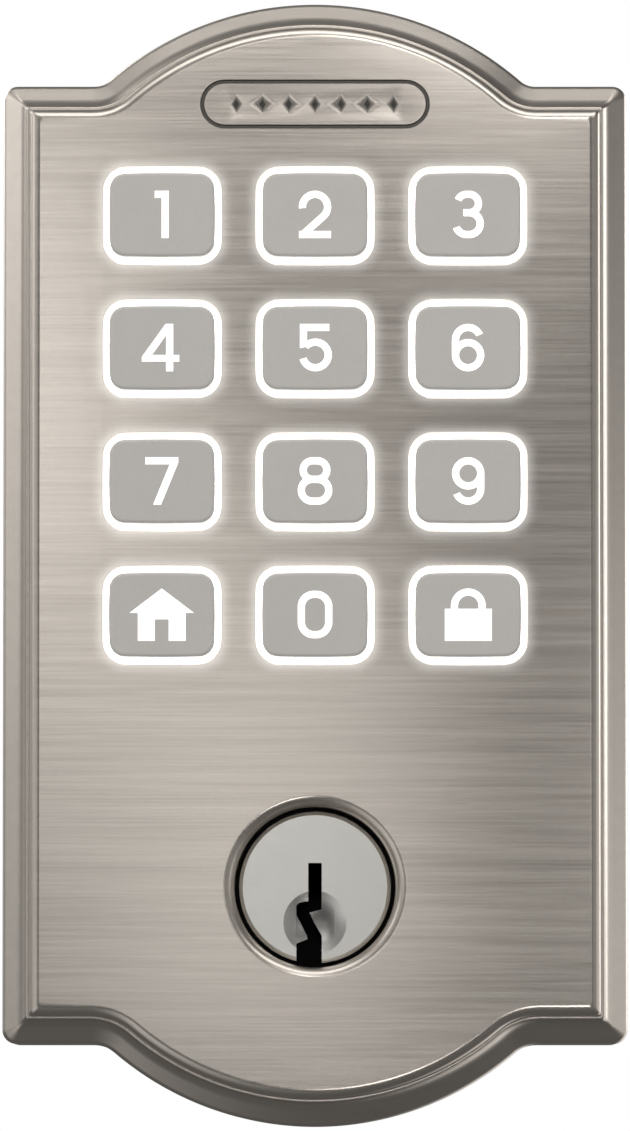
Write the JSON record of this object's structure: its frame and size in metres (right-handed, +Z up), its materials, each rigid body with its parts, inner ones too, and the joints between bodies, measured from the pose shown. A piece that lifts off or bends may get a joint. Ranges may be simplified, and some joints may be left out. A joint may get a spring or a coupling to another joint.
{
  "type": "keypad smart lock",
  "caption": "Outside half of a keypad smart deadbolt: arched satin-nickel plate with a stepped border, backlit number keys in glowing frames and a pin-tumbler key cylinder.",
  "frame": {"origin": "on the key cylinder's axis, at the outer face of the door", "axes": "+X to the right as seen from outdoors, +Y into the door along the cylinder's axis, +Z up"},
  "size_m": [0.0762, 0.0793, 0.1374],
  "materials": {
    "satin_nickel": "satin nickel plating with fine brushing across the plate, on cast zinc",
    "light_guide": "milky translucent moulding, lit white from behind",
    "key_skin": "opaque satin grey skin of a two-shot key",
    "key_lens": "milky translucent core of a two-shot key, lit from behind",
    "mat_rubber": "grey silicone rubber",
    "spring_steel": "bright spring steel",
    "board": "green solder resist over glass fibre board",
    "led": "white light-emitting diode package",
    "black_plastic": "fine-grained black moulding",
    "socket_plastic": "natural nylon",
    "contact_brass": "tinned brass",
    "zinc_steel": "zinc-plated steel",
    "cast_zinc": "tumbled zinc casting",
    "gasket_rubber": "closed-cell black rubber",
    "cylinder_brass": "machined brass",
    "plug_nickel": "smooth bright nickel plating on brass",
    "hard_steel": "hardened steel"
  },
  "bodies": {
    "lock_body": {"escutcheon": "satin_nickel", "light_guide": "light_guide", "key_mat": "mat_rubber", "snap_domes": "spring_steel", "keypad_board": "board", "backlight_leds": "led", "board_chips": "black_plastic", "sounder": "black_plastic", "harness_socket": "socket_plastic", "socket_contacts": "contact_brass", "rear_cover": "black_plastic", "board_screws": "zinc_steel", "back_plate": "cast_zinc", "back_plate_screws": "zinc_steel", "door_gasket": "gasket_rubber", "mounting_posts": "zinc_steel", "cylinder_housing": "cylinder_brass", "drill_pins": "hard_steel", "cylinder_screws": "zinc_steel", "pin_springs": "spring_steel", "spring_cover": "contact_brass"},
    "plug": {"key_plug": "plug_nickel", "plug_clip": "spring_steel", "tailpiece": "zinc_steel", "tailpiece_cap": "cylinder_brass"},
    "key_1": {"key_cap_1": "key_skin", "key_lens_1": "key_lens"},
    "key_2": {"key_cap_2": "key_skin", "key_lens_2": "key_lens"},
    "key_3": {"key_cap_3": "key_skin", "key_lens_3": "key_lens"},
    "key_4": {"key_cap_4": "key_skin", "key_lens_4": "key_lens"},
    "key_5": {"key_cap_5": "key_skin", "key_lens_5": "key_lens"},
    "key_6": {"key_cap_6": "key_skin", "key_lens_6": "key_lens"},
    "key_7": {"key_cap_7": "key_skin", "key_lens_7": "key_lens"},
    "key_8": {"key_cap_8": "key_skin", "key_lens_8": "key_lens"},
    "key_9": {"key_cap_9": "key_skin", "key_lens_9": "key_lens"},
    "key_home": {"key_cap_home": "key_skin", "key_lens_home": "key_lens"},
    "key_0": {"key_cap_0": "key_skin", "key_lens_0": "key_lens"},
    "key_lock": {"key_cap_lock": "key_skin", "key_lens_lock": "key_lens"},
    "bottom_pin_1": {"bottom_pin_1": "cylinder_brass"},
    "driver_pin_1": {"driver_pin_1": "cylinder_brass"},
    "bottom_pin_2": {"bottom_pin_2": "cylinder_brass"},
    "driver_pin_2": {"driver_pin_2": "cylinder_brass"},
    "bottom_pin_3": {"bottom_pin_3": "cylinder_brass"},
    "driver_pin_3": {"driver_pin_3": "cylinder_brass"},
    "bottom_pin_4": {"bottom_pin_4": "cylinder_brass"},
    "driver_pin_4": {"driver_pin_4": "cylinder_brass"},
    "bottom_pin_5": {"bottom_pin_5": "cylinder_brass"},
    "driver_pin_5": {"driver_pin_5": "cylinder_brass"}
  },
  "joints": [
    {"name": "press_1", "type": "slide", "parent": "lock_body", "child": "key_1", "axis": [0, 1, 0], "range_m": [0, 0.0009], "stiffness_N_per_m": 1500, "springref_m": -0.0003, "deforming": ["key_mat", "snap_domes"]},
    {"name": "press_2", "type": "slide", "parent": "lock_body", "child": "key_2", "axis": [0, 1, 0], "range_m": [0, 0.0009], "stiffness_N_per_m": 1500, "springref_m": -0.0003, "deforming": ["key_mat", "snap_domes"]},
    {"name": "press_3", "type": "slide", "parent": "lock_body", "child": "key_3", "axis": [0, 1, 0], "range_m": [0, 0.0009], "stiffness_N_per_m": 1500, "springref_m": -0.0003, "deforming": ["key_mat", "snap_domes"]},
    {"name": "press_4", "type": "slide", "parent": "lock_body", "child": "key_4", "axis": [0, 1, 0], "range_m": [0, 0.0009], "stiffness_N_per_m": 1500, "springref_m": -0.0003, "deforming": ["key_mat", "snap_domes"]},
    {"name": "press_5", "type": "slide", "parent": "lock_body", "child": "key_5", "axis": [0, 1, 0], "range_m": [0, 0.0009], "stiffness_N_per_m": 1500, "springref_m": -0.0003, "deforming": ["key_mat", "snap_domes"]},
    {"name": "press_6", "type": "slide", "parent": "lock_body", "child": "key_6", "axis": [0, 1, 0], "range_m": [0, 0.0009], "stiffness_N_per_m": 1500, "springref_m": -0.0003, "deforming": ["key_mat", "snap_domes"]},
    {"name": "press_7", "type": "slide", "parent": "lock_body", "child": "key_7", "axis": [0, 1, 0], "range_m": [0, 0.0009], "stiffness_N_per_m": 1500, "springref_m": -0.0003, "deforming": ["key_mat", "snap_domes"]},
    {"name": "press_8", "type": "slide", "parent": "lock_body", "child": "key_8", "axis": [0, 1, 0], "range_m": [0, 0.0009], "stiffness_N_per_m": 1500, "springref_m": -0.0003, "deforming": ["key_mat", "snap_domes"]},
    {"name": "press_9", "type": "slide", "parent": "lock_body", "child": "key_9", "axis": [0, 1, 0], "range_m": [0, 0.0009], "stiffness_N_per_m": 1500, "springref_m": -0.0003, "deforming": ["key_mat", "snap_domes"]},
    {"name": "press_home", "type": "slide", "parent": "lock_body", "child": "key_home", "axis": [0, 1, 0], "range_m": [0, 0.0009], "stiffness_N_per_m": 1500, "springref_m": -0.0003, "deforming": ["key_mat", "snap_domes"]},
    {"name": "press_0", "type": "slide", "parent": "lock_body", "child": "key_0", "axis": [0, 1, 0], "range_m": [0, 0.0009], "stiffness_N_per_m": 1500, "springref_m": -0.0003, "deforming": ["key_mat", "snap_domes"]},
    {"name": "press_lock", "type": "slide", "parent": "lock_body", "child": "key_lock", "axis": [0, 1, 0], "range_m": [0, 0.0009], "stiffness_N_per_m": 1500, "springref_m": -0.0003, "deforming": ["key_mat", "snap_domes"]},
    {"name": "plug_turn", "type": "hinge", "parent": "lock_body", "child": "plug", "pos_m": [0, 0, 0], "axis": [0, 1, 0], "continuous": true},
    {"name": "bottom_drop_1", "type": "slide", "parent": "plug", "child": "bottom_pin_1", "axis": [0, 0, -1], "range_m": [0, 0.00309]},
    {"name": "driver_lift_1", "type": "slide", "parent": "lock_body", "child": "driver_pin_1", "axis": [0, 0, 1], "range_m": [0, 0.0022], "stiffness_N_per_m": 150, "springref_m": -0.003, "deforming": ["pin_springs"]},
    {"name": "bottom_drop_2", "type": "slide", "parent": "plug", "child": "bottom_pin_2", "axis": [0, 0, -1], "range_m": [0, 0.00189]},
    {"name": "driver_lift_2", "type": "slide", "parent": "lock_body", "child": "driver_pin_2", "axis": [0, 0, 1], "range_m": [0, 0.0022], "stiffness_N_per_m": 150, "springref_m": -0.003, "deforming": ["pin_springs"]},
    {"name": "bottom_drop_3", "type": "slide", "parent": "plug", "child": "bottom_pin_3", "axis": [0, 0, -1], "range_m": [0, 0.00269]},
    {"name": "driver_lift_3", "type": "slide", "parent": "lock_body", "child": "driver_pin_3", "axis": [0, 0, 1], "range_m": [0, 0.0022], "stiffness_N_per_m": 150, "springref_m": -0.003, "deforming": ["pin_springs"]},
    {"name": "bottom_drop_4", "type": "slide", "parent": "plug", "child": "bottom_pin_4", "axis": [0, 0, -1], "range_m": [0, 0.00149]},
    {"name": "driver_lift_4", "type": "slide", "parent": "lock_body", "child": "driver_pin_4", "axis": [0, 0, 1], "range_m": [0, 0.0022], "stiffness_N_per_m": 150, "springref_m": -0.003, "deforming": ["pin_springs"]},
    {"name": "bottom_drop_5", "type": "slide", "parent": "plug", "child": "bottom_pin_5", "axis": [0, 0, -1], "range_m": [0, 0.00229]},
    {"name": "driver_lift_5", "type": "slide", "parent": "lock_body", "child": "driver_pin_5", "axis": [0, 0, 1], "range_m": [0, 0.0022], "stiffness_N_per_m": 150, "springref_m": -0.003, "deforming": ["pin_springs"]}
  ]
}
